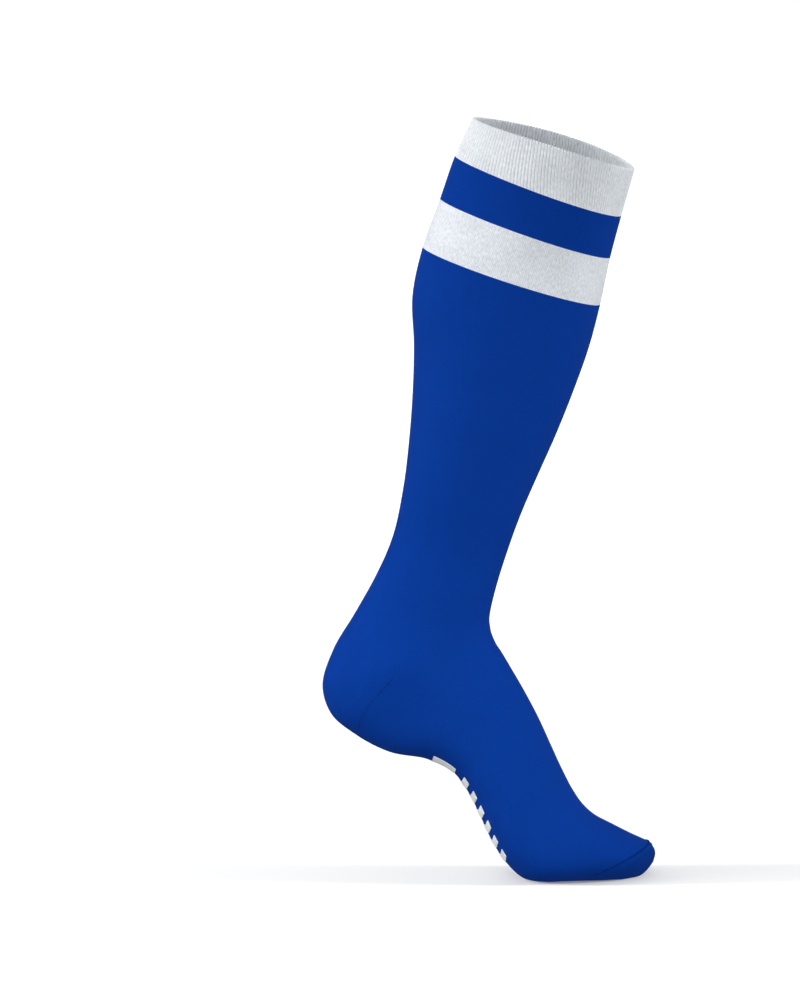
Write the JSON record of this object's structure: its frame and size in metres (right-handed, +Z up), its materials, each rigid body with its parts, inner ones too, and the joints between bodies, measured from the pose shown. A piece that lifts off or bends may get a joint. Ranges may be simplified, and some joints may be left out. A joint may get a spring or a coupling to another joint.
{
  "type": "knee sock",
  "caption": "Knee-high sports sock for a right foot, with a ribbed cuff, striped top, heel pocket, toe cap and plain sole bars, held in its worn shape.",
  "frame": {"origin": "middle of the sock's mouth, at the top edge of the cuff, where the leg goes in", "axes": "+X towards the toes, +Z up, -Y the outer side of the leg, where the little toe is"},
  "size_m": [0.2105, 0.0992, 0.4861],
  "materials": {
    "white_rib_knit": "matt elastic rib knit, one rib out and one in",
    "royal_blue_knit": "matt fine plain knit with a soft sheen",
    "white_knit": "matt fine plain knit"
  },
  "bodies": {
    "root": {"cuff": "white_rib_knit", "upper_stripe": "royal_blue_knit", "lower_stripe": "white_knit", "leg": "royal_blue_knit", "heel": "royal_blue_knit", "foot": "royal_blue_knit", "toe_cap": "royal_blue_knit", "toe_seam": "royal_blue_knit", "sole_bar_1": "white_knit", "sole_bar_2": "white_knit", "sole_bar_3": "white_knit", "sole_bar_4": "white_knit", "sole_bar_5": "white_knit", "sole_bar_6": "white_knit", "sole_bar_7": "white_knit"}
  },
  "joints": []
}
